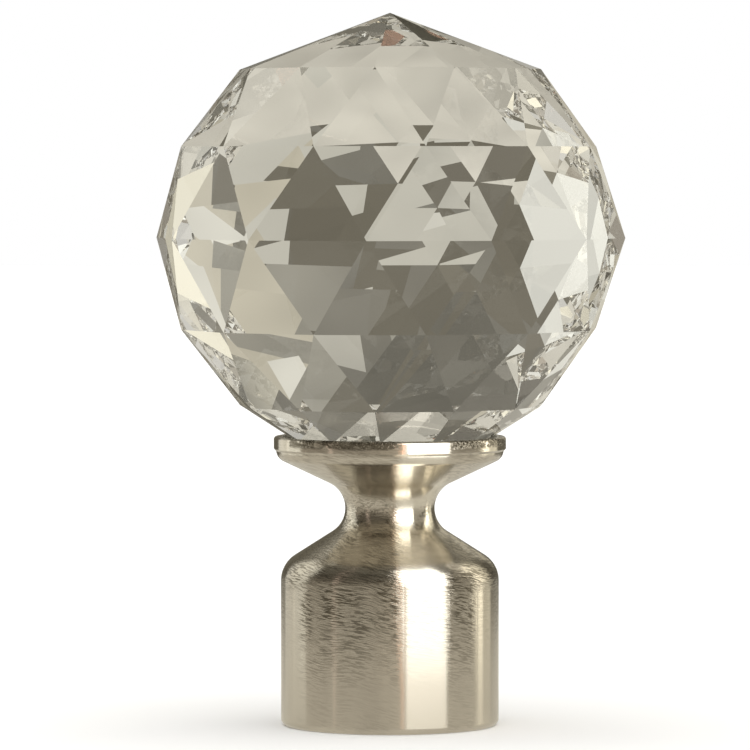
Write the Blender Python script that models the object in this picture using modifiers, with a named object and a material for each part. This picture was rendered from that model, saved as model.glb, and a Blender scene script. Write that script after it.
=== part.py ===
"""Curtain rod finial: a ball of cut crystal in the cup of a turned metal base.

The base ends below in a socket that slips over the end of a round rod. The part
stands upright on the mouth of that socket. Its origin is the middle of the mouth,
+Z runs up the axis and -Y is the front. Lengths are in metres, angles in degrees.
"""

import math

import bmesh
import bpy

# Socket
ROD_DIAMETER = 0.0250
ROD_PLAY = 0.0002
SOCKET_WALL = 0.0012
SOCKET_DEPTH = 0.0180
MOUTH_ROUND = 0.0008

# Shoulder and neck
STOP_TO_SHOULDER = 0.00045
SHOULDER_ROUND = 0.0038
SHOULDER_HOLLOW = 0.0035
SHOULDER_LEAN = 57.5
NECK_DIAMETER = 0.0114

# Cup and rim
CUP_HOLLOW = 0.0036
CUP_LEAN = 64.5
CUP_ROUND = 0.0015
RIM_STEP = 0.0003
RIM_STEP_HEIGHT = 0.0002
RIM_HEIGHT = 0.00155
RIM_WALL = 0.0011
RIM_ROUND = 0.00035
SEAT_DEPTH = 0.0014
SEAT_GAP = 0.0003

# Ball
BALL_DIAMETER = 0.0600
CUT_SIDES = 12
INNER_BELT_ANGLE = 23.4
INNER_BELT_SINK = 0.0008
OUTER_BELT_ANGLE = 48.0
OUTER_BELT_SINK = 0.0012
CROWN_SINK = 0.0014
TABLE_DIAMETER = 0.0219
TABLE_FACET_ANGLE = 32.5
BALL_TURN = -5.5

# Fineness of the turned shape
TURN_STEPS = 64
ARC_STEP = 12.0
SMOOTH_BELOW = 30.0


def clear_scene():
    """Remove the objects that the scene opens with."""
    for old in list(bpy.data.objects):
        bpy.data.objects.remove(old, do_unlink=True)


def arc(centre, radius, start, end):
    """Points on an arc round centre, from angle start to angle end."""
    pieces = max(2, math.ceil(abs(end - start) / ARC_STEP))
    points = []
    for index in range(pieces + 1):
        angle = math.radians(start + (end - start) * index / pieces)
        points.append((centre[0] + radius * math.cos(angle), centre[1] + radius * math.sin(angle)))
    return points


def ogee_height(width, arcs, lean):
    """Height of a hollow and a round, arcs in all, joined by a straight slope at lean to the axis."""
    lean = math.radians(lean)
    slope = (width - arcs * (1.0 - math.cos(lean))) / math.sin(lean)
    return arcs * math.sin(lean) + slope * math.cos(lean)


def base_sizes():
    """Radii and heights of the base that follow from the rod, the ball and the curves."""
    facet = math.radians(TABLE_FACET_ANGLE)
    sizes = {}
    sizes["bore"] = ROD_DIAMETER / 2 + ROD_PLAY
    sizes["socket"] = sizes["bore"] + SOCKET_WALL
    sizes["neck"] = NECK_DIAMETER / 2
    sizes["seat_floor"] = TABLE_DIAMETER / 2 + SEAT_GAP / math.sin(facet) - SEAT_GAP / math.tan(facet)
    sizes["rim_inner"] = sizes["seat_floor"] + (SEAT_DEPTH + SEAT_GAP) / math.tan(facet)
    sizes["rim"] = sizes["rim_inner"] + RIM_WALL
    sizes["cup"] = sizes["rim"] - RIM_STEP

    shoulder_width = sizes["socket"] - sizes["neck"]
    cup_width = sizes["cup"] - sizes["neck"]
    sizes["shoulder_z"] = SOCKET_DEPTH + STOP_TO_SHOULDER
    sizes["neck_z"] = sizes["shoulder_z"] + ogee_height(
        shoulder_width, SHOULDER_ROUND + SHOULDER_HOLLOW, SHOULDER_LEAN)
    sizes["cup_z"] = sizes["neck_z"] + ogee_height(cup_width, CUP_ROUND + CUP_HOLLOW, CUP_LEAN)
    sizes["rim_foot_z"] = sizes["cup_z"] + RIM_STEP_HEIGHT
    sizes["rim_z"] = sizes["rim_foot_z"] + RIM_HEIGHT
    sizes["table_z"] = sizes["rim_z"] - SEAT_DEPTH
    sizes["seat_floor_z"] = sizes["table_z"] - SEAT_GAP
    return sizes


def base_outline(size):
    """Half section of the base, from the middle of the seat, down the outside, to the rod stop."""
    outline = [(0.0, size["seat_floor_z"]), (size["seat_floor"], size["seat_floor_z"])]

    outline.append((size["rim_inner"], size["rim_z"]))
    outline += arc((size["rim"] - RIM_ROUND, size["rim_z"] - RIM_ROUND), RIM_ROUND, 90.0, 0.0)
    outline.append((size["rim"], size["rim_foot_z"]))
    outline.append((size["cup"], size["rim_foot_z"] - RIM_STEP))

    outline += arc((size["cup"] - CUP_ROUND, size["cup_z"]), CUP_ROUND, 0.0, -CUP_LEAN)
    outline += arc((size["neck"] + CUP_HOLLOW, size["neck_z"]), CUP_HOLLOW, 180.0 - CUP_LEAN, 180.0)
    hollow = (size["neck"] + SHOULDER_HOLLOW, size["neck_z"])
    outline += arc(hollow, SHOULDER_HOLLOW, 180.0, 180.0 + SHOULDER_LEAN)[1:]
    shoulder = (size["socket"] - SHOULDER_ROUND, size["shoulder_z"])
    outline += arc(shoulder, SHOULDER_ROUND, SHOULDER_LEAN, 0.0)

    outline += arc((size["socket"] - MOUTH_ROUND, MOUTH_ROUND), MOUTH_ROUND, 0.0, -90.0)
    outline += [(size["bore"], 0.0), (size["bore"], SOCKET_DEPTH), (0.0, SOCKET_DEPTH)]
    return outline


def turned(name, outline, material):
    """Turn a half section round the axis into one closed solid."""
    mesh = bpy.data.meshes.new(name)
    mesh.from_pydata(
        [(radius, 0.0, height) for radius, height in outline],
        [(index, index + 1) for index in range(len(outline) - 1)],
        [])
    solid = bpy.data.objects.new(name, mesh)
    collection.objects.link(solid)

    screw = solid.modifiers.new("turn", "SCREW")
    screw.angle = math.tau
    screw.steps = TURN_STEPS
    screw.render_steps = TURN_STEPS
    screw.use_merge_vertices = True
    screw.merge_threshold = 0.00001

    evaluated = solid.evaluated_get(bpy.context.evaluated_depsgraph_get())
    solid.data = bpy.data.meshes.new_from_object(evaluated)
    solid.data.name = name
    solid.modifiers.clear()
    bpy.data.meshes.remove(mesh)
    solid.data.shade_smooth()
    solid.data.set_sharp_from_angle(angle=math.radians(SMOOTH_BELOW))
    solid.data.materials.append(material)
    return solid


def ball_belts():
    """Radius, height and turn of each ring of facet corners, from the table up to the crown."""
    girdle = BALL_DIAMETER / 2
    half_side = 180.0 / CUT_SIDES
    belts = []
    for angle, sink, turn in (
            (-OUTER_BELT_ANGLE, OUTER_BELT_SINK, 0.0),
            (-INNER_BELT_ANGLE, INNER_BELT_SINK, half_side),
            (0.0, 0.0, 0.0),
            (INNER_BELT_ANGLE, INNER_BELT_SINK, half_side),
            (OUTER_BELT_ANGLE, OUTER_BELT_SINK, 0.0)):
        reach = girdle - sink
        belts.append((reach * math.cos(math.radians(angle)), reach * math.sin(math.radians(angle)), turn))

    lowest_radius, lowest_height, lowest_turn = belts[0]
    table_drop = (lowest_radius - TABLE_DIAMETER / 2) * math.tan(math.radians(TABLE_FACET_ANGLE))
    table = (TABLE_DIAMETER / 2, lowest_height - table_drop, lowest_turn)
    return [table] + belts


def cut_ball(name, table_z, material):
    """The ball: the hull of its rings of corners and its crown, standing with its table at table_z."""
    belts = ball_belts()
    shape = bmesh.new()
    shape.verts.new((0.0, 0.0, BALL_DIAMETER / 2 - CROWN_SINK))
    for radius, height, turn in belts:
        for side in range(CUT_SIDES):
            angle = math.radians(turn + 360.0 * side / CUT_SIDES)
            shape.verts.new((radius * math.sin(angle), -radius * math.cos(angle), height))
    bmesh.ops.convex_hull(shape, input=shape.verts)
    bmesh.ops.dissolve_limit(
        shape, angle_limit=math.radians(0.1), verts=shape.verts, edges=shape.edges)

    mesh = bpy.data.meshes.new(name)
    shape.to_mesh(mesh)
    shape.free()
    mesh.materials.append(material)
    ball = bpy.data.objects.new(name, mesh)
    collection.objects.link(ball)
    ball.location.z = table_z - belts[0][1]
    ball.rotation_euler.z = math.radians(BALL_TURN)
    return ball


def principled(name, colour, roughness, metallic):
    """A material with one Principled shader; returns the material and the shader."""
    material = bpy.data.materials.new(name)
    material.use_nodes = True
    shader = material.node_tree.nodes["Principled BSDF"]
    shader.inputs["Base Color"].default_value = (*colour, 1.0)
    shader.inputs["Roughness"].default_value = roughness
    shader.inputs["Metallic"].default_value = metallic
    return material, shader


def satin_nickel():
    """Warm grey nickel plate with a satin finish."""
    return principled("satin_nickel", (0.62, 0.58, 0.50), 0.28, 1.0)[0]


def clear_crystal():
    """Clear polished crystal."""
    material, shader = principled("clear_crystal", (0.97, 0.98, 0.95), 0.0, 0.0)
    shader.inputs["IOR"].default_value = 1.54
    shader.inputs["Transmission Weight"].default_value = 1.0
    return material


clear_scene()
collection = bpy.data.collections.new("curtain_rod_finial")
bpy.context.scene.collection.children.link(collection)

base = base_sizes()
socket_base = turned("socket_base", base_outline(base), satin_nickel())
crystal_ball = cut_ball("crystal_ball", base["table_z"], clear_crystal())
crystal_ball.parent = socket_base
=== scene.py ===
"""Curtain rod finial, dressed: a cut crystal ball in the cup of a brushed satin nickel base.

The finial stands upright on the mouth of its socket. +Z runs up its axis and -Y is the
front. Lengths are in metres. Bearings are in degrees round the axis: 0 is straight behind
the finial, 90 is to its right and 180 is where the viewer stands.
"""

import math

import bmesh
import bpy
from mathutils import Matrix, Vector


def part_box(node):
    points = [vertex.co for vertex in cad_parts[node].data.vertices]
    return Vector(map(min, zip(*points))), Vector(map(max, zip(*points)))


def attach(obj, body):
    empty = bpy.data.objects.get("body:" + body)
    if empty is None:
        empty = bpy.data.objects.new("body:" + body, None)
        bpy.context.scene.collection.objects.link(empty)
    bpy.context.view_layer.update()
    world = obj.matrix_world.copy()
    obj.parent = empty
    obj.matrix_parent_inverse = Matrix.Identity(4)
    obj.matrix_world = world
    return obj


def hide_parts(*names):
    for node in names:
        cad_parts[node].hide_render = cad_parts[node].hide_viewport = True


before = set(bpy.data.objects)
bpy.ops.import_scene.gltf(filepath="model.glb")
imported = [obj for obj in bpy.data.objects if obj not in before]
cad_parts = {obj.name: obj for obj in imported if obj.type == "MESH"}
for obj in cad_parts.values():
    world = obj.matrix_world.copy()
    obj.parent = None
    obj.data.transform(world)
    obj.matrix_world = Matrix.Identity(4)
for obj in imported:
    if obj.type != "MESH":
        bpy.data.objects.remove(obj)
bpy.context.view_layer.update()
BALL_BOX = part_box("crystal_ball")

bl_info = {
    "name": "Curtain rod finial",
    "version": (1, 0, 0),
    "blender": (4, 5, 0),
    "location": "3D View > Sidebar > Finial",
    "description": "Makes a crystal ball finial on a turned nickel base, and its studio",
    "category": "Object",
}

ROOT = "root"


# Sizes and finishes that a user would change


class BallSizes(bpy.types.PropertyGroup):
    """Sizes of the cut crystal ball."""

    diameter: bpy.props.FloatProperty(
        name="Diameter", description="Width of the ball over the corners of its girdle",
        default=0.0600, unit="LENGTH")
    sides: bpy.props.IntProperty(
        name="Facets round", description="Facet corners in each ring", default=12, min=3)
    turn: bpy.props.FloatProperty(
        name="Turn", description="Turn of the cut round the axis, away from the front",
        default=math.radians(-5.5), subtype="ANGLE")
    inner_angle: bpy.props.FloatProperty(
        name="Inner belt angle", description="Height of the inner ring of corners above the girdle",
        default=math.radians(23.4), subtype="ANGLE")
    inner_sink: bpy.props.FloatProperty(
        name="Inner belt sink", description="How far the inner ring lies inside the round ball",
        default=0.0008, unit="LENGTH")
    outer_angle: bpy.props.FloatProperty(
        name="Outer belt angle", description="Height of the outer ring of corners above the girdle",
        default=math.radians(48.0), subtype="ANGLE")
    outer_sink: bpy.props.FloatProperty(
        name="Outer belt sink", description="How far the outer ring lies inside the round ball",
        default=0.0012, unit="LENGTH")
    crown_sink: bpy.props.FloatProperty(
        name="Crown sink", description="How far the top corner lies inside the round ball",
        default=0.0014, unit="LENGTH")
    table_diameter: bpy.props.FloatProperty(
        name="Table diameter", description="Width over the corners of the flat table underneath",
        default=0.0219, unit="LENGTH")
    table_angle: bpy.props.FloatProperty(
        name="Table facet angle", description="Slope of the facets round the table, from level",
        default=math.radians(32.5), subtype="ANGLE")
    table_height: bpy.props.FloatProperty(
        name="Table height", description="Height of the table above the mouth of the socket",
        default=BALL_BOX[0][2], unit="LENGTH")


class BaseSizes(bpy.types.PropertyGroup):
    """Sizes of the turned metal base."""

    rod_diameter: bpy.props.FloatProperty(
        name="Rod diameter", description="Width of the rod that the socket takes",
        default=0.0250, unit="LENGTH")
    rod_play: bpy.props.FloatProperty(
        name="Rod play", description="Gap between the rod and the bore all round",
        default=0.0002, unit="LENGTH", precision=5)
    socket_wall: bpy.props.FloatProperty(
        name="Socket wall", description="Thickness of the socket's wall", default=0.0012,
        unit="LENGTH")
    socket_depth: bpy.props.FloatProperty(
        name="Socket depth", description="How far the rod goes in", default=0.0180, unit="LENGTH")
    mouth_round: bpy.props.FloatProperty(
        name="Mouth round", description="Rounding of the outer edge of the mouth",
        default=0.0008, unit="LENGTH", precision=5)
    stop_to_shoulder: bpy.props.FloatProperty(
        name="Stop to shoulder", description="Height of the rod stop below the shoulder's start",
        default=0.00045, unit="LENGTH", precision=5)
    shoulder_round: bpy.props.FloatProperty(
        name="Shoulder round", description="Radius of the shoulder's outer curve",
        default=0.0038, unit="LENGTH")
    shoulder_hollow: bpy.props.FloatProperty(
        name="Shoulder hollow", description="Radius of the curve from the shoulder into the neck",
        default=0.0035, unit="LENGTH")
    shoulder_lean: bpy.props.FloatProperty(
        name="Shoulder lean", description="Slope of the shoulder away from the axis",
        default=math.radians(57.5), subtype="ANGLE")
    neck_diameter: bpy.props.FloatProperty(
        name="Neck diameter", description="Width of the neck at its narrowest",
        default=0.0114, unit="LENGTH")
    cup_hollow: bpy.props.FloatProperty(
        name="Cup hollow", description="Radius of the curve from the neck into the cup",
        default=0.0036, unit="LENGTH")
    cup_lean: bpy.props.FloatProperty(
        name="Cup lean", description="Slope of the cup away from the axis",
        default=math.radians(64.5), subtype="ANGLE")
    cup_round: bpy.props.FloatProperty(
        name="Cup round", description="Radius of the curve from the cup into the rim",
        default=0.0015, unit="LENGTH")
    rim_step: bpy.props.FloatProperty(
        name="Rim step", description="How far the rim stands out from the cup",
        default=0.0003, unit="LENGTH", precision=5)
    rim_step_height: bpy.props.FloatProperty(
        name="Rim step height", description="Height from the cup's curve to the rim's foot",
        default=0.0002, unit="LENGTH", precision=5)
    rim_height: bpy.props.FloatProperty(
        name="Rim height", description="Height of the upright band of the rim",
        default=0.00155, unit="LENGTH", precision=5)
    rim_wall: bpy.props.FloatProperty(
        name="Rim wall", description="Thickness of the rim", default=0.0011, unit="LENGTH")
    rim_round: bpy.props.FloatProperty(
        name="Rim round", description="Rounding of the rim's outer edge",
        default=0.00035, unit="LENGTH", precision=5)
    seat_depth: bpy.props.FloatProperty(
        name="Seat depth", description="Depth of the ball's table below the rim",
        default=0.0014, unit="LENGTH")
    seat_gap: bpy.props.FloatProperty(
        name="Seat gap", description="Gap between the ball and the seat in the cup",
        default=0.0003, unit="LENGTH", precision=5)
    turn_steps: bpy.props.IntProperty(
        name="Turn steps", description="Faces round the axis", default=240, min=24)


class Finishes(bpy.types.PropertyGroup):
    """Colours of the metal, the crystal and the studio."""

    nickel: bpy.props.FloatVectorProperty(
        name="Nickel", description="Colour of the plate where it is clean",
        default=(0.62, 0.575, 0.495), subtype="COLOR", min=0.0, max=1.0)
    # Colour of the scratches, pits and stains, and also of the painted shade towards the shoulder.
    nickel_worn_and_shaded: bpy.props.FloatVectorProperty(
        name="Nickel in the lines", description="Colour of the plate in scratches and pits",
        default=(0.17, 0.15, 0.115), subtype="COLOR", min=0.0, max=1.0)
    # Colour of the brush's flecks, and also of the painted highlight on the strip at the front.
    nickel_bright_and_highlight: bpy.props.FloatVectorProperty(
        name="Nickel in the flecks", description="Colour of the plate where the brush polished it",
        default=(0.86, 0.81, 0.71), subtype="COLOR", min=0.0, max=1.0)
    # Painted shade: the seat under the ball takes a dark grey-green in place of the shade that
    # falls there.
    seat: bpy.props.FloatVectorProperty(
        name="Seat", description="Colour of the bare seat under the ball",
        default=(0.22, 0.225, 0.175), subtype="COLOR", min=0.0, max=1.0)
    seat_patch: bpy.props.FloatVectorProperty(
        name="Seat patch", description="Colour of the coppery patch on the seat",
        default=(1.0, 0.64, 0.50), subtype="COLOR", min=0.0, max=1.0)
    nickel_roughness: bpy.props.FloatProperty(
        name="Nickel roughness", description="Roughness of the brushed plate",
        default=0.18, subtype="FACTOR", min=0.0, max=1.0)
    nickel_brushing: bpy.props.FloatProperty(
        name="Nickel brushing", description="How far the brushing draws a highlight out",
        default=0.98, subtype="FACTOR", min=0.0, max=1.0)
    crystal: bpy.props.FloatVectorProperty(
        name="Crystal", description="Tint of light that passes through the crystal",
        default=(0.975, 0.975, 0.955), subtype="COLOR", min=0.0, max=1.0)
    crystal_ior: bpy.props.FloatProperty(
        name="Crystal index", description="Index of refraction of the crystal",
        default=1.512, min=1.0, max=2.5)
    floor: bpy.props.FloatVectorProperty(
        name="Floor", description="Colour of the floor", default=(0.9, 0.9, 0.9),
        subtype="COLOR", min=0.0, max=1.0)


# Node trees written as expressions


# Sockets of a Mix node for colours: the two that go in, and the one that comes out.
COLOUR_A, COLOUR_B, COLOUR_OUT = 6, 7, 2


class Number:
    """A socket that carries a number; arithmetic on it adds Math nodes to its tree."""

    def __init__(self, wiring, socket):
        self.wiring = wiring
        self.socket = socket

    def math(self, operation, *others):
        node = self.wiring.node(
            "ShaderNodeMath", {"operation": operation}, dict(enumerate((self,) + others)))
        return Number(self.wiring, node.outputs[0])

    def __add__(self, other):
        return self.math("ADD", other)

    def __sub__(self, other):
        return self.math("SUBTRACT", other)

    def __mul__(self, other):
        return self.math("MULTIPLY", other)

    def __truediv__(self, other):
        return self.math("DIVIDE", other)

    def __rsub__(self, other):
        return (self * -1.0) + other

    def __rtruediv__(self, other):
        return self.math("POWER", -1.0) * other

    __radd__ = __add__
    __rmul__ = __mul__

    def clamped(self):
        node = self.wiring.node("ShaderNodeClamp", {}, {"Value": self})
        return Number(self.wiring, node.outputs[0])

    def ramp(self, start, end):
        """0 up to start, 1 from end on, and straight between them."""
        return ((self - start) / (end - start)).clamped()

    def between(self, rise, fall):
        """1 between a rise and a fall, each given by its start and its end, and 0 outside."""
        return self.ramp(*rise) * self.ramp(*fall)


class Wiring:
    """Adds nodes to a tree and joins them."""

    def __init__(self, tree):
        self.tree = tree

    def node(self, kind, settings, inputs):
        """A new node: its settings are made first, then its inputs' values and links."""
        made = self.tree.nodes.new(kind)
        for key, value in settings.items():
            setattr(made, key, value)
        for key, value in inputs.items():
            self.feed(made.inputs[key], value)
        return made

    def feed(self, socket, value):
        if isinstance(value, Number):
            value = value.socket
        if isinstance(value, bpy.types.NodeSocket):
            self.tree.links.new(value, socket)
        else:
            socket.default_value = value

    def number(self, node, output=0):
        return Number(self, node.outputs[output])

    def vector(self, x, y, z):
        return self.node("ShaderNodeCombineXYZ", {}, {0: x, 1: y, 2: z}).outputs[0]

    def coordinates(self, kind):
        """x, y and z of one kind of texture coordinate."""
        place = self.node("ShaderNodeTexCoord", {}, {})
        split = self.node("ShaderNodeSeparateXYZ", {}, {0: place.outputs[kind]})
        return [self.number(split, axis) for axis in range(3)]

    def mixed(self, factor, first, second, blend="MIX"):
        """first where factor is 0 and second, or its blend with first, where it is 1."""
        node = self.node(
            "ShaderNodeMix", {"data_type": "RGBA", "blend_type": blend},
            {"Factor": factor, COLOUR_A: first, COLOUR_B: second})
        return node.outputs[COLOUR_OUT]


def opaque(colour):
    """A colour with full alpha, as a socket takes it."""
    return (*colour, 1.0)


# Materials


# Kinds of noise pattern: how many finer layers each has and how strong they are.
SOFT_NOISE = {"Detail": 1.0, "Roughness": 0.5}
CRISP_NOISE = {"Detail": 2.0, "Roughness": 0.6}
NOISE_MIDDLE = 0.5

# Patterns drawn out round the base, each by how fine it is: turns to a unit of its direction
# from the axis, and turns to a metre up the axis.
WANDER = (2.0, 90.0)
STROKES = (8.0, 5800.0)
HAIRS = (14.0, 9500.0)
PATCHES = (5.0, 260.0)
# How much the strokes drop from left to right, and the height that they wander through.
STROKE_SLANT = 0.19
STROKE_WANDER = 0.0016
# Spotted patterns: turns to a metre on the level, and up the axis.
GRAIN = (3000.0, 3000.0)
BLOTCHES = (500.0, 900.0)

# Values of the patterns where a mark starts and where it is whole.
LINES = (0.50, 0.545)
LINES_IN_PATCHES = (0.25, 0.55)
FLECKS = (0.54, 0.62)
FLECKS_BETWEEN_LINES = (0.50, 0.44)
PITS_IN_BLOTCHES = (0.38, 0.48)
PITS_IN_GRAIN = (0.36, 0.50)
FINE_PITS = (0.45, 0.52)
STAINS_IN_BLOTCHES = (0.50, 0.62)
STAINS_IN_GRAIN = (0.35, 0.55)

# Places where a mark starts and where it is whole, or two such pairs where it has two edges.
# Along y, towards the viewer:
FRONT = (0.0, -0.0040)
# Along x, across the front:
# The strip is also where a painted highlight brightens the plate.
STRIP = ((0.0008, 0.0018), (0.0076, 0.0066))
LEFT_STRIP = (-0.0111, -0.0118)
RIGHT_STRIP = (0.0103, 0.0110)
GLINT = ((0.0006, 0.0012), (0.0036, 0.0030))
LEFT_PITS = ((0.0016, 0.0004), (-0.0136, -0.0126))
RIGHT_PITS = (0.0076, 0.0084)
# Up the axis:
STROKES_FOOT = (0.0055, 0.0150)
# Foot of the painted highlight on the strip.
HIGHLIGHT_FOOT = (0.0060, 0.0140)
# The next two bound the painted shade, darkest where the wall meets the shoulder.
SHADE_FOOT = (0.0085, 0.0188)
SHADE_TOP = (0.0195, 0.0225)
SIDE_STRIPS_TOP = (0.0190, 0.0175)
SHOULDER = (0.0190, 0.0215)
NECK = ((0.0225, 0.0250), (0.0290, 0.0275))
CUP = (0.0275, 0.0300)
SEAT_FOOT = (0.0340, 0.0346)
RIM_FOOT = (0.0357, 0.0360)
# Out from the axis:
RIM_EDGE = (0.0138, 0.0141)
SEAT_EDGE = (0.0138, 0.0136)
# The coppery patch on the seat: x and y of its middle, and its edge out from there.
PATCH_PLACE = (0.0068, 0.0058)
PATCH_EDGE = (0.0036, 0.0031)

# Shares of the strokes that are left at the foot, and that are lost from the shoulder up, from
# the cup up and on the strips.
STROKES_LEAST = 0.12
LOST_ON_SHOULDER = 0.45
LOST_ON_CUP = 0.45
LOST_ON_STRIP = 0.80
LOST_ON_SIDE_STRIPS = 0.85
# Share of the blotched pits that stays between the grains, and of the stains lost in the glint.
PITS_LEAST = 0.5
STAINS_LOST = 0.7
# How far each mark takes the colour of the clean plate to its own. On the strip that is a painted
# highlight, towards the shoulder painted shade, and on the seat painted shade under the ball.
FLECK_SHINE = 0.45
STRIP_HIGHLIGHT = 0.80
SHADE_DEPTH = 0.28
LINE_DEPTH = 0.76
PIT_DEPTH = 0.85
STAIN_DEPTH = 0.60
SEAT_SHADE_DEPTH = 0.80
# What the marks and the seat add to the roughness, and the share of its metallic look that
# the patch loses.
MARK_ROUGHNESS = 0.10
SEAT_ROUGHNESS = 0.30
PATCH_DULLNESS = 0.80
# Relief of the hairs and the pits against the strokes' own, and the depth of the whole.
HAIR_RELIEF = 0.3
PIT_RELIEF = 0.4
RELIEF_STRENGTH = 0.8
RELIEF_DEPTH = 0.00007
# A quarter turn of the brushing, so that highlights are drawn out up the base.
BRUSHING_TURN = 0.25
# Keeps the distance from the axis above nought.
TINY = 1e-9

FLOOR_ROUGHNESS = 0.9


def new_material(name):
    """A material with a lone Principled shader, and that shader."""
    material = bpy.data.materials.new(name)
    material.use_nodes = True
    shader = material.node_tree.nodes["Principled BSDF"]
    return material, shader


def cut_crystal(finishes):
    """Clear polished crystal."""
    material, shader = new_material("cut_crystal")
    shader.inputs["Base Color"].default_value = opaque(finishes.crystal)
    shader.inputs["Roughness"].default_value = 0.0
    shader.inputs["IOR"].default_value = finishes.crystal_ior
    shader.inputs["Transmission Weight"].default_value = 1.0
    return material


def floor_paint(finishes):
    """Matt paint without any shine."""
    material, shader = new_material("floor_paint")
    shader.inputs["Base Color"].default_value = opaque(finishes.floor)
    shader.inputs["Roughness"].default_value = FLOOR_ROUGHNESS
    shader.inputs["Specular IOR Level"].default_value = 0.0
    return material


def noise(wiring, place, kind=SOFT_NOISE):
    """A noise pattern of one kind, with one turn to a unit of place."""
    node = wiring.node(
        "ShaderNodeTexNoise", {"noise_dimensions": "3D"}, {"Vector": place, "Scale": 1.0, **kind})
    return wiring.number(node)


def brushed_nickel(finishes):
    """Satin nickel plate with strokes round the axis that fade on three upright strips.

    It darkens towards the shoulder with painted shade, and a painted highlight brightens the
    strip at its front. It has pits along the rim, stains on the neck, and a seat darkened with
    painted shade under the ball, with a coppery patch.
    """
    material, shader = new_material("brushed_nickel")
    wiring = Wiring(material.node_tree)
    x, y, z = wiring.coordinates("Object")
    radius = (x * x + y * y + TINY).math("SQRT")
    across = x / radius
    along = y / radius

    def banded(fineness, height, kind=SOFT_NOISE):
        """A pattern drawn out round the axis."""
        around, up = fineness
        return noise(wiring, wiring.vector(across * around, along * around, height * up), kind)

    def spotted(fineness):
        """A pattern of spots."""
        level, up = fineness
        return noise(wiring, wiring.vector(x * level, y * level, z * up), CRISP_NOISE)

    slanted = z + x * STROKE_SLANT + (banded(WANDER, z) - NOISE_MIDDLE) * STROKE_WANDER
    strokes = banded(STROKES, slanted, CRISP_NOISE)
    hairs = banded(HAIRS, slanted)
    patches = banded(PATCHES, z)
    grain = spotted(GRAIN)
    blotches = spotted(BLOTCHES)

    front = y.ramp(*FRONT)
    strip = front * x.between(*STRIP)
    side_strips = front * (x.ramp(*LEFT_STRIP) + x.ramp(*RIGHT_STRIP)) * z.ramp(*SIDE_STRIPS_TOP)
    worked = z.ramp(*STROKES_FOOT) * (1.0 - z.ramp(*SHOULDER) * LOST_ON_SHOULDER)
    worked = worked * (1.0 - STROKES_LEAST) + STROKES_LEAST
    worked = worked * (1.0 - strip * LOST_ON_STRIP) * (1.0 - side_strips * LOST_ON_SIDE_STRIPS)
    worked = worked * (1.0 - z.ramp(*CUP) * LOST_ON_CUP)
    # Painted shade: the plate's colour darkens towards the shoulder.
    shade = z.ramp(*SHADE_FOOT) * (1.0 - z.ramp(*SHADE_TOP))
    lines = strokes.ramp(*LINES) * patches.ramp(*LINES_IN_PATCHES) * worked
    flecks = hairs.ramp(*FLECKS) * strokes.ramp(*FLECKS_BETWEEN_LINES) * worked

    on_rim = z.ramp(*RIM_FOOT) * radius.ramp(*RIM_EDGE)
    in_grain = grain.ramp(*PITS_IN_GRAIN) * (1.0 - PITS_LEAST) + PITS_LEAST
    pits_left = blotches.ramp(*PITS_IN_BLOTCHES) * in_grain * x.between(*LEFT_PITS)
    pits_right = grain.ramp(*FINE_PITS) * x.ramp(*RIGHT_PITS)
    pits = (pits_left + pits_right) * on_rim
    glint = front * x.between(*GLINT)
    stains = blotches.ramp(*STAINS_IN_BLOTCHES) * grain.ramp(*STAINS_IN_GRAIN)
    stains = stains * z.between(*NECK) * (1.0 - glint * STAINS_LOST)

    in_seat = z.ramp(*SEAT_FOOT) * radius.ramp(*SEAT_EDGE)
    right, back = x - PATCH_PLACE[0], y - PATCH_PLACE[1]
    patch = in_seat * (right * right + back * back).math("SQRT").ramp(*PATCH_EDGE)

    # Painted highlight: the strip at the front is brightened towards the bright nickel, on top of
    # the brush's flecks.
    polish_and_highlight = (flecks * FLECK_SHINE).math("MAXIMUM", strip * z.ramp(*HIGHLIGHT_FOOT) * STRIP_HIGHLIGHT)
    # Real lines, pits and stains together with the painted shade towards the shoulder.
    worn_and_shaded = shade * SHADE_DEPTH + lines * LINE_DEPTH + pits * PIT_DEPTH + stains * STAIN_DEPTH
    colour = wiring.mixed(polish_and_highlight, opaque(finishes.nickel), opaque(finishes.nickel_bright_and_highlight))
    colour = wiring.mixed(worn_and_shaded.clamped(), colour, opaque(finishes.nickel_worn_and_shaded))
    # Painted shade: the seat under the ball is darkened to its grey-green.
    colour = wiring.mixed(in_seat * SEAT_SHADE_DEPTH, colour, opaque(finishes.seat))
    colour = wiring.mixed(patch, colour, opaque(finishes.seat_patch))
    marks = lines.math("MAXIMUM", pits)
    roughness = finishes.nickel_roughness + marks * MARK_ROUGHNESS + in_seat * SEAT_ROUGHNESS
    relief = ((strokes + hairs * HAIR_RELIEF) * worked - pits * PIT_RELIEF) * (1.0 - in_seat)
    bump = wiring.node("ShaderNodeBump", {}, {
        "Strength": RELIEF_STRENGTH, "Distance": RELIEF_DEPTH, "Height": relief})

    wiring.feed(shader.inputs["Base Color"], colour)
    wiring.feed(shader.inputs["Roughness"], roughness)
    wiring.feed(shader.inputs["Normal"], bump.outputs[0])
    wiring.feed(shader.inputs["Metallic"], 1.0 - patch * PATCH_DULLNESS)
    shader.inputs["Anisotropic"].default_value = finishes.nickel_brushing
    shader.inputs["Anisotropic Rotation"].default_value = BRUSHING_TURN
    return material


# The base


ARC_STEP = math.radians(4.0)
SMOOTH_BELOW = math.radians(30.0)
AXIS_WELD = 0.00001
SEAM_WELD = 0.000001


def arc(centre, radius, start, end):
    """Points on an arc round centre, from angle start to angle end."""
    pieces = max(2, math.ceil(abs(end - start) / ARC_STEP))
    points = []
    for index in range(pieces + 1):
        angle = start + (end - start) * index / pieces
        points.append((centre[0] + radius * math.cos(angle), centre[1] + radius * math.sin(angle)))
    return points


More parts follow.
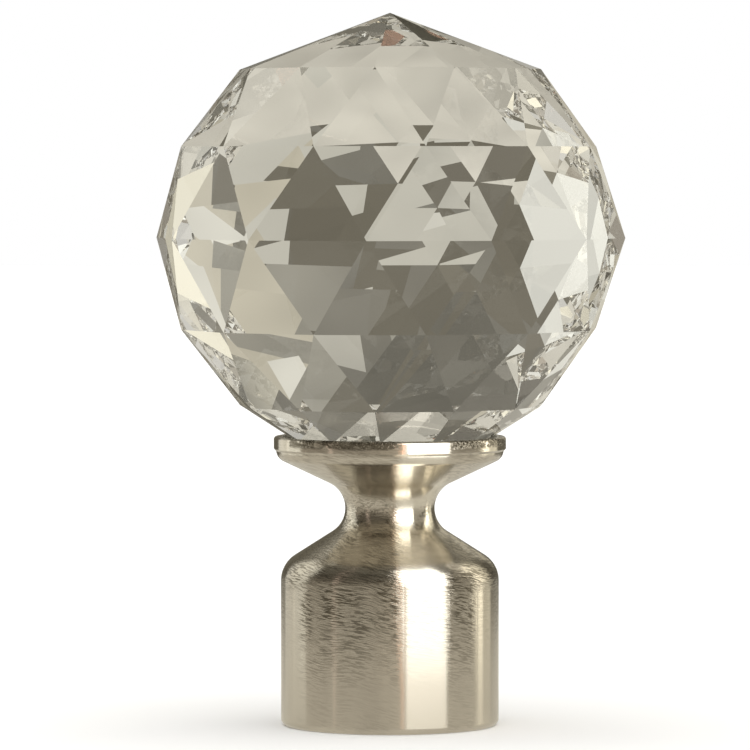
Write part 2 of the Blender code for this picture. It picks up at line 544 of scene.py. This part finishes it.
def ogee_height(width, arcs, lean):
    """Height of a hollow and a round, arcs in all, joined by a straight slope."""
    slope = (width - arcs * (1.0 - math.cos(lean))) / math.sin(lean)
    return arcs * math.sin(lean) + slope * math.cos(lean)


def base_outline(base, ball):
    """Half section of the base, from the middle of the seat, down the outside, to the stop."""
    quarter = math.radians(90.0)
    bore = base.rod_diameter / 2 + base.rod_play
    socket = bore + base.socket_wall
    neck = base.neck_diameter / 2
    facet = ball.table_angle
    floor = (ball.table_diameter / 2 + base.seat_gap / math.sin(facet)
             - base.seat_gap / math.tan(facet))
    rim_inner = floor + (base.seat_depth + base.seat_gap) / math.tan(facet)
    rim = rim_inner + base.rim_wall
    cup = rim - base.rim_step

    shoulder_z = base.socket_depth + base.stop_to_shoulder
    neck_z = shoulder_z + ogee_height(
        socket - neck, base.shoulder_round + base.shoulder_hollow, base.shoulder_lean)
    cup_z = neck_z + ogee_height(cup - neck, base.cup_round + base.cup_hollow, base.cup_lean)
    rim_foot_z = cup_z + base.rim_step_height
    rim_z = rim_foot_z + base.rim_height
    floor_z = rim_z - base.seat_depth - base.seat_gap

    outline = [(0.0, floor_z), (floor, floor_z), (rim_inner, rim_z)]
    outline += arc((rim - base.rim_round, rim_z - base.rim_round), base.rim_round, quarter, 0.0)
    outline += [(rim, rim_foot_z), (cup, rim_foot_z - base.rim_step)]
    outline += arc((cup - base.cup_round, cup_z), base.cup_round, 0.0, -base.cup_lean)
    outline += arc(
        (neck + base.cup_hollow, neck_z), base.cup_hollow, math.pi - base.cup_lean, math.pi)
    outline += arc(
        (neck + base.shoulder_hollow, neck_z), base.shoulder_hollow, math.pi,
        math.pi + base.shoulder_lean)[1:]
    outline += arc(
        (socket - base.shoulder_round, shoulder_z), base.shoulder_round, base.shoulder_lean, 0.0)
    outline += arc(
        (socket - base.mouth_round, base.mouth_round), base.mouth_round, 0.0, -quarter)
    outline += [(bore, 0.0), (bore, base.socket_depth), (0.0, base.socket_depth)]
    return outline


def baked(maker):
    """The evaluated mesh of an object, which is removed."""
    evaluated = maker.evaluated_get(bpy.context.evaluated_depsgraph_get())
    mesh = bpy.data.meshes.new_from_object(evaluated)
    old = maker.data
    bpy.data.objects.remove(maker, do_unlink=True)
    bpy.data.meshes.remove(old)
    return mesh


def linked(name, data):
    """A new object in the scene."""
    made = bpy.data.objects.new(name, data)
    bpy.context.scene.collection.objects.link(made)
    return made


def turned(name, outline, steps, material):
    """A half section turned round the axis into one closed piece."""
    mesh = bpy.data.meshes.new(name + "_outline")
    mesh.from_pydata(
        [(radius, 0.0, height) for radius, height in outline],
        [(index, index + 1) for index in range(len(outline) - 1)], [])
    maker = linked(name + "_outline", mesh)
    screw = maker.modifiers.new("turn", "SCREW")
    screw.angle = math.tau
    screw.steps = steps
    screw.render_steps = steps
    screw.use_merge_vertices = True
    screw.merge_threshold = AXIS_WELD
    bpy.context.view_layer.update()

    piece = linked(name, baked(maker))
    piece.data.name = name
    shape = bmesh.new()
    shape.from_mesh(piece.data)
    bmesh.ops.remove_doubles(shape, verts=shape.verts, dist=SEAM_WELD)
    bmesh.ops.recalc_face_normals(shape, faces=shape.faces)
    shape.to_mesh(piece.data)
    shape.free()
    piece.data.shade_smooth()
    piece.data.set_sharp_from_angle(angle=SMOOTH_BELOW)
    piece.data.materials.append(material)
    return piece


# The ball


# Inputs of the ball's tree, each with the property that it takes its value from.
BALL_INPUTS = {
    "Diameter": "diameter",
    "Facets round": "sides",
    "Turn": "turn",
    "Inner belt angle": "inner_angle",
    "Inner belt sink": "inner_sink",
    "Outer belt angle": "outer_angle",
    "Outer belt sink": "outer_sink",
    "Crown sink": "crown_sink",
    "Table diameter": "table_diameter",
    "Table facet angle": "table_angle",
    "Table height": "table_height",
}
# Facets to each side of the rings, counted from the table's edge up to the crown.
FACET_ROWS = 10
# Triangles of one facet lie in one plane to within this.
FLAT_WITHIN = math.radians(0.1)


def ball_tree(material):
    """Geometry nodes for the cut ball: the hull of its rings of corners and its crown."""
    tree = bpy.data.node_groups.new("cut_ball", "GeometryNodeTree")
    wiring = Wiring(tree)
    for name in BALL_INPUTS:
        kind = "NodeSocketInt" if name == "Facets round" else "NodeSocketFloat"
        tree.interface.new_socket(name, in_out="INPUT", socket_type=kind)
    tree.interface.new_socket("Ball", in_out="OUTPUT", socket_type="NodeSocketGeometry")
    entry = wiring.node("NodeGroupInput", {}, {})
    size = {name: wiring.number(entry, name) for name in BALL_INPUTS}

    girdle = size["Diameter"] * 0.5
    half_side = math.pi / size["Facets round"]
    inner = girdle - size["Inner belt sink"]
    outer = girdle - size["Outer belt sink"]
    inner_radius = inner * size["Inner belt angle"].math("COSINE")
    inner_height = inner * size["Inner belt angle"].math("SINE")
    outer_radius = outer * size["Outer belt angle"].math("COSINE")
    outer_height = outer * size["Outer belt angle"].math("SINE")
    table_radius = size["Table diameter"] * 0.5
    table_drop = (outer_radius - table_radius) * size["Table facet angle"].math("TANGENT")
    middle = size["Table height"] + table_drop + outer_height

    def ring(radius, height, turn):
        """Corners round the axis."""
        circle = wiring.node(
            "GeometryNodeMeshCircle", {"fill_type": "NONE"},
            {"Vertices": size["Facets round"], "Radius": radius})
        return wiring.node("GeometryNodeTransform", {}, {
            "Geometry": circle.outputs[0],
            "Translation": wiring.vector(0.0, 0.0, height),
            "Rotation": wiring.vector(0.0, 0.0, turn)}).outputs[0]

    crown = wiring.node("GeometryNodeMeshLine", {}, {
        "Count": 1,
        "Start Location": wiring.vector(0.0, 0.0, middle + girdle - size["Crown sink"])})
    join = wiring.node("GeometryNodeJoinGeometry", {}, {})
    tree.links.new(crown.outputs[0], join.inputs[0])
    for radius, height, turn in (
            (table_radius, size["Table height"], size["Turn"]),
            (outer_radius, middle - outer_height, size["Turn"]),
            (inner_radius, middle - inner_height, size["Turn"] + half_side),
            (girdle, middle, size["Turn"]),
            (inner_radius, middle + inner_height, size["Turn"] + half_side),
            (outer_radius, middle + outer_height, size["Turn"])):
        tree.links.new(ring(radius, height, turn), join.inputs[0])

    hull = wiring.node("GeometryNodeConvexHull", {}, {0: join.outputs[0]})
    real = wiring.node("GeometryNodeRealizeInstances", {}, {0: hull.outputs[0]})
    painted = wiring.node(
        "GeometryNodeSetMaterial", {}, {"Geometry": real.outputs[0], "Material": material})
    wiring.node("NodeGroupOutput", {}, {0: painted.outputs[0]})
    return tree


def set_inputs(modifier, values):
    """Give a geometry nodes modifier its values by the names of the tree's inputs."""
    for item in modifier.node_group.interface.items_tree:
        if item.item_type == "SOCKET" and item.in_out == "INPUT":
            modifier[item.identifier] = values[item.name]


# Operators for the pieces


class FINIAL_OT_turn_base(bpy.types.Operator):
    """Turn the metal base with its cup, neck, shoulder and socket"""

    bl_idname = "finial.turn_base"
    bl_label = "Turn the base"

    def execute(self, context):
        base = context.scene.finial_base
        ball = context.scene.finial_ball
        piece = turned(
            "nickel_base", base_outline(base, ball), base.turn_steps,
            brushed_nickel(context.scene.finial_finishes))
        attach(piece, ROOT)
        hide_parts("socket_base")
        return {"FINISHED"}


class FINIAL_OT_cut_ball(bpy.types.Operator):
    """Cut the crystal ball and set it in the cup"""

    bl_idname = "finial.cut_ball"
    bl_label = "Cut the ball"

    def execute(self, context):
        ball = context.scene.finial_ball
        material = cut_crystal(context.scene.finial_finishes)
        maker = linked("ball_maker", bpy.data.meshes.new("ball_maker"))
        cut = maker.modifiers.new("cut", "NODES")
        cut.node_group = ball_tree(material)
        set_inputs(cut, {name: getattr(ball, source) for name, source in BALL_INPUTS.items()})
        bpy.context.view_layer.update()
        mesh = baked(maker)
        if len(mesh.polygons) < ball.sides * FACET_ROWS:
            raise RuntimeError("the ball's facets weren't made")

        shape = bmesh.new()
        shape.from_mesh(mesh)
        bmesh.ops.dissolve_limit(
            shape, angle_limit=FLAT_WITHIN, verts=shape.verts, edges=shape.edges)
        bmesh.ops.recalc_face_normals(shape, faces=shape.faces)
        shape.to_mesh(mesh)
        shape.free()
        mesh.name = "cut_crystal_ball"
        mesh.shade_flat()
        piece = linked("cut_crystal_ball", mesh)
        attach(piece, ROOT)
        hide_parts("crystal_ball")
        return {"FINISHED"}


# The studio


WHITE = (1.0, 1.0, 1.0)

# Each part of the light tent: bearings and elevations of its edges, how soft its side and
# level edges are, in degrees, and the light it gives. A later part covers an earlier one, and
# an upper edge past 90 takes in the point overhead. TENT_BACK shows where there is no part.
TENT_PARTS = {
    "front_room": ((-180.0, -68.0), (-90.0, 90.0), 8.0, (0.080, 0.071, 0.056)),
    "front_wall": ((-180.0, -68.0), (-14.0, 12.0), 9.0, (0.33, 0.292, 0.238)),
    "side_grey": ((76.0, 127.0), (-90.0, 45.0), 3.0, (0.38, 0.350, 0.290)),
    "far_ceiling": ((-180.0, 180.0), (37.4, 140.0), 1.5, (0.158, 0.148, 0.121)),
    "side_left": ((-80.0, -33.9), (-90.0, 43.4), 1.5, (0.805, 0.795, 0.725)),
    "side_far_left": ((-80.0, -55.9), (-90.0, 43.4), 1.5, (1.130, 1.120, 1.020)),
    "side_right": ((46.6, 77.0), (-90.0, 43.4), 1.5, (1.030, 0.970, 0.780)),
    "box_glow": ((158.0, 192.0), (-14.0, 12.0), 30.0, (0.62, 0.545, 0.44)),
    "softbox": ((116.5, 166.5), (-20.0, 40.0), 4.0, (0.60, 0.585, 0.55)),
}
TENT_BACK = (0.152, 0.138, 0.105)

# Light in the tent and on the cards drifts between these shares of itself, as a noise pattern
# goes through its range. The pattern's fineness is in turns to a metre on the cards, and to a
# unit of direction in the tent.
WEAK, STRONG = 0.84, 1.16
DRIFT_RANGE = (0.25, 0.75)
CARD_DRIFT = 70.0
TENT_DRIFT = 6.0

# The table top round the finial's foot, as the crystal and the metal see it: a disc just under
# the floor.
TABLE_RADIUS = 0.207
TABLE_DROP = 0.0002
TABLE_SIDES = 72
TABLE_LIGHT = (0.648, 0.615, 0.530)

# Each card that hangs close behind the ball: its distance behind the axis, its left, right,
# lower and upper edge in millimetres from the middle of the ball, how far its upright edges
# lean and its level edges climb, and the light it gives.
CARDS = (
    (150.5, (-5.63, 10.78, 0.04, 64.77), 0.272, -0.034, (0.190, 0.178, 0.146)),
    (150.2, (15.84, 23.78, 52.36, 76.63), -0.138, -0.286, (0.462, 0.441, 0.377)),
    (126.7, (-23.19, -12.64, -25.93, 21.95), -1.123, -0.290, (0.190, 0.179, 0.147)),
    (117.4, (-12.36, -6.68, -21.55, 7.26), 0.025, 0.108, (0.678, 0.655, 0.573)),
    (112.7, (2.59, 15.72, 35.52, 44.66), -1.047, -0.861, (0.177, 0.166, 0.136)),
    (111.9, (9.20, 59.67, 8.83, 59.29), 0.253, -0.094, (0.285, 0.269, 0.224)),
    (102.7, (23.69, 52.54, -20.85, 45.00), 0.029, -0.154, (0.530, 0.488, 0.385)),
    (85.9, (17.46, 26.98, 21.69, 25.26), -0.272, 0.024, (0.353, 0.335, 0.282)),
    (85.6, (-49.56, -15.16, 1.23, 36.38), 0.599, -0.895, (0.129, 0.121, 0.098)),
    (76.8, (-8.58, 12.14, -35.53, -25.37), -0.834, 0.936, (0.568, 0.547, 0.474)),
    (75.2, (19.63, 35.72, 9.69, 14.44), -0.242, -0.593, (0.672, 0.649, 0.568)),
    (74.2, (29.25, 34.82, -5.51, 17.44), -0.506, 0.273, (0.678, 0.655, 0.573)),
    (69.6, (23.98, 34.39, 2.72, 7.49), 0.230, -0.171, (0.266, 0.251, 0.208)),
    (69.1, (-8.20, 4.60, -8.45, 1.27), 0.122, 0.289, (0.500, 0.480, 0.412)),
)
BALL_MIDDLE = 0.06215
# Millimetres to a metre.
MILLIMETRES = 1000.0

# Each lamp that shows in the metal only: its side edges' bearings and its lower and upper edge's
# elevations, in degrees, the light it gives and whether it shines through the ball.
METAL_LAMPS = (
    ("strip_light", (117.5, 163.8), (-26.0, 66.0), (2.3, 2.28, 2.2), False),
    ("warm_light", (165.0, 168.0), (-10.0, 60.0), (0.9, 0.38, 0.16), False),
    ("side_light", (64.0, 73.5), (-20.0, 60.0), (1.35, 1.28, 1.12), False),
    ("edge_light", (-61.0, -36.0), (-20.0, 60.0), (0.16, 0.148, 0.12), False),
    ("gap_light", (-121.0, -117.5), (-10.0, 60.0), (0.45, 0.36, 0.32), False),
    ("seat_light", (-10.0, 10.0), (80.0, 100.0), (6.0, 5.85, 5.4), True),
)
LAMP_DISTANCE = 1.6
LAMP_TARGET = (0.0, 0.0, 0.02)
# Watts to a square metre of lamp for a light of 1.
LAMP_POWER = 4.0

FLOOR_RADIUS = 3.0
FLOOR_SIDES = 96
# The light from overhead that falls on the floor: its strength, and how widely it spreads.
FLOOR_LIGHT = 3.4
FLOOR_LIGHT_SPREAD = math.radians(100.0)

# The camera's place and the point it faces; its focal length and the picture's width in
# pixels, and its sensor's width in millimetres; the nearest and farthest that it sees.
CAMERA_PLACE = (0.0, -0.6943, 0.07205)
CAMERA_TARGET = (-0.0019, 0.0, 0.04465)
FOCAL_PIXELS = 5450.0
PICTURE_PIXELS = 750.0
SENSOR_WIDTH = 36.0
NEAREST, FARTHEST = 0.01, 20.0

# Light turns back many times between the facets before it leaves the ball.
BOUNCES = 64


def card_corners(distance, edges, lean, climb):
    """Corners of an upright card with leaning sides, distance behind the axis."""
    left, right, lower, upper = (edge / MILLIMETRES for edge in edges)
    corners = []
    for side, level in ((left, lower), (right, lower), (right, upper), (left, upper)):
        across = (side + lean * level) / (1.0 - lean * climb)
        corners.append((across, distance / MILLIMETRES, BALL_MIDDLE + level + climb * across))
    return corners


def uneven(wiring, place, light):
    """A light a little stronger in some places than in others."""
    drift = noise(wiring, place).ramp(*DRIFT_RANGE)
    weak = opaque([channel * WEAK for channel in light])
    strong = opaque([channel * STRONG for channel in light])
    return wiring.mixed(drift, weak, strong)


def card(name, corners, light):
    """A flat card that shows in the crystal and the metal, and nowhere else."""
    mesh = bpy.data.meshes.new(name)
    mesh.from_pydata(corners, [], [tuple(range(len(corners)))])
    material = bpy.data.materials.new(name)
    material.use_nodes = True
    material.node_tree.nodes.clear()
    wiring = Wiring(material.node_tree)
    place = wiring.vector(*(axis * CARD_DRIFT for axis in wiring.coordinates("Object")))
    glow = wiring.node(
        "ShaderNodeEmission", {}, {"Color": uneven(wiring, place, light), "Strength": 1.0})
    wiring.node("ShaderNodeOutputMaterial", {}, {"Surface": glow.outputs[0]})
    mesh.materials.append(material)
    made = linked(name, mesh)
    made.visible_camera = False
    made.visible_diffuse = False
    made.visible_shadow = False


def metal_lamp(name, bearings, elevations, light, through, lit):
    """A flat lamp far off that lights the pieces in one collection only."""
    bearing = math.radians(sum(bearings) / 2)
    elevation = math.radians(sum(elevations) / 2)
    away = Vector((
        math.sin(bearing) * math.cos(elevation), math.cos(bearing) * math.cos(elevation),
        math.sin(elevation)))
    lamp = bpy.data.lights.new(name, "AREA")
    lamp.shape = "RECTANGLE"
    lamp.size, lamp.size_y = (
        2.0 * LAMP_DISTANCE * math.tan(math.radians(edges[1] - edges[0]) / 2)
        for edges in (bearings, elevations))
    lamp.color = [channel / max(light) for channel in light]
    lamp.energy = LAMP_POWER * max(light) * lamp.size * lamp.size_y
    made = linked(name, lamp)
    made.location = Vector(LAMP_TARGET) + away * LAMP_DISTANCE
    made.rotation_euler = (-away).to_track_quat("-Z", "Y").to_euler()
    made.visible_camera = False
    made.light_linking.receiver_collection = lit
    if through:
        made.light_linking.blocker_collection = lit


def tent_light(scene):
    """The light tent as a world, which the camera sees as white."""
    world = bpy.data.worlds.new("light_tent")
    scene.world = world
    world.use_nodes = True
    tree = world.node_tree
    tree.nodes.clear()
    wiring = Wiring(tree)
    x, y, z = wiring.coordinates("Generated")
    bearing = x.math("ARCTAN2", y) * math.degrees(1.0)
    elevation = z.math("ARCSINE") * math.degrees(1.0)

    colour = opaque(TENT_BACK)
    for bearings, elevations, soft, light in TENT_PARTS.values():
        middle = (elevations[0] + elevations[1]) / 2
        reach = (elevations[1] - elevations[0]) / 2
        lift = (elevation - middle).math("ABSOLUTE")
        mask = ((reach - lift) / soft + 0.5).clamped()
        centre = (bearings[0] + bearings[1]) / 2
        half = (bearings[1] - bearings[0]) / 2
        if half < 180.0:
            off = (bearing - centre).math("WRAP", 180.0, -180.0).math("ABSOLUTE")
            mask = mask * ((half - off) / soft + 0.5).clamped()
        colour = wiring.mixed(mask, colour, opaque(light))

    place = wiring.vector(x * TENT_DRIFT, y * TENT_DRIFT, z * TENT_DRIFT)
    colour = wiring.mixed(1.0, colour, uneven(wiring, place, WHITE), blend="MULTIPLY")

    seen = wiring.node("ShaderNodeLightPath", {}, {})
    colour = wiring.mixed(wiring.number(seen, "Is Camera Ray"), colour, opaque(WHITE))
    background = wiring.node("ShaderNodeBackground", {}, {"Color": colour, "Strength": 1.0})
    wiring.node("ShaderNodeOutputWorld", {}, {"Surface": background.outputs[0]})


def lay_floor(finishes):
    """A wide pale floor that doesn't show in the crystal or the metal."""
    mesh = bpy.data.meshes.new("floor")
    shape = bmesh.new()
    bmesh.ops.create_circle(shape, cap_ends=True, segments=FLOOR_SIDES, radius=FLOOR_RADIUS)
    shape.to_mesh(mesh)
    shape.free()
    mesh.materials.append(floor_paint(finishes))
    floor = linked("floor", mesh)
    floor.visible_glossy = False
    floor.visible_transmission = False


def hang_cards():
    """The cards behind the ball, and the table top."""
    for number, (distance, edges, lean, climb, light) in enumerate(CARDS):
        card(f"card_{number}", card_corners(distance, edges, lean, climb), light)
    ring = [math.tau * index / TABLE_SIDES for index in range(TABLE_SIDES)]
    card("table_top", [
        (TABLE_RADIUS * math.cos(angle), TABLE_RADIUS * math.sin(angle), -TABLE_DROP)
        for angle in ring], TABLE_LIGHT)


def set_lamps():
    """The metal's own lamps, and light for the floor that gives the pieces no shine."""
    lit = bpy.data.collections.new("lit_metal")
    lit.objects.link(bpy.data.objects["nickel_base"])
    for name, bearings, elevations, light, through in METAL_LAMPS:
        metal_lamp(name, bearings, elevations, light, through, lit)
    lamp = bpy.data.lights.new("floor_light", "SUN")
    lamp.angle = FLOOR_LIGHT_SPREAD
    lamp.energy = FLOOR_LIGHT
    made = linked("floor_light", lamp)
    made.visible_glossy = False
    made.visible_transmission = False


def place_camera(scene):
    """The camera in front of the finial, a little above the ball's middle."""
    camera = bpy.data.cameras.new("camera")
    camera.sensor_width = SENSOR_WIDTH
    camera.lens = SENSOR_WIDTH * FOCAL_PIXELS / PICTURE_PIXELS
    camera.clip_start = NEAREST
    camera.clip_end = FARTHEST
    eye = linked("camera", camera)
    eye.location = CAMERA_PLACE
    facing = Vector(CAMERA_TARGET) - eye.location
    eye.rotation_euler = facing.to_track_quat("-Z", "Y").to_euler()
    scene.camera = eye


class FINIAL_OT_set_stage(bpy.types.Operator):
    """Lay the pale floor, hang the light and place the camera"""

    bl_idname = "finial.set_stage"
    bl_label = "Set the stage"

    def execute(self, context):
        scene = context.scene
        lay_floor(scene.finial_finishes)
        tent_light(scene)
        hang_cards()
        set_lamps()
        place_camera(scene)
        scene.view_settings.view_transform = "Standard"
        scene.view_settings.look = "None"
        scene.cycles.max_bounces = BOUNCES
        scene.cycles.glossy_bounces = BOUNCES
        scene.cycles.transmission_bounces = BOUNCES
        scene.cycles.use_denoising = True
        return {"FINISHED"}


# The panel, and the order of work


class FINIAL_PT_pieces(bpy.types.Panel):
    """Sizes, finishes and makers of the finial"""

    bl_label = "Finial"
    bl_idname = "FINIAL_PT_pieces"
    bl_space_type = "VIEW_3D"
    bl_region_type = "UI"
    bl_category = "Finial"

    def draw(self, context):
        for operator in OPERATORS:
            self.layout.operator(operator.bl_idname)
        for group in GROUPS:
            values = getattr(context.scene, group)
            box = self.layout.box()
            for name in values.__annotations__:
                box.prop(values, name)


OPERATORS = (FINIAL_OT_turn_base, FINIAL_OT_cut_ball, FINIAL_OT_set_stage)
GROUPS = {"finial_ball": BallSizes, "finial_base": BaseSizes, "finial_finishes": Finishes}
CLASSES = tuple(GROUPS.values()) + OPERATORS + (FINIAL_PT_pieces,)


def register():
    for each in CLASSES:
        bpy.utils.register_class(each)
    for name, group in GROUPS.items():
        setattr(bpy.types.Scene, name, bpy.props.PointerProperty(type=group))


def unregister():
    for name in GROUPS:
        delattr(bpy.types.Scene, name)
    for each in reversed(CLASSES):
        bpy.utils.unregister_class(each)


def main():
    register()
    bpy.ops.finial.turn_base()
    bpy.ops.finial.cut_ball()
    bpy.ops.finial.set_stage()


if __name__ == "__main__":
    main()
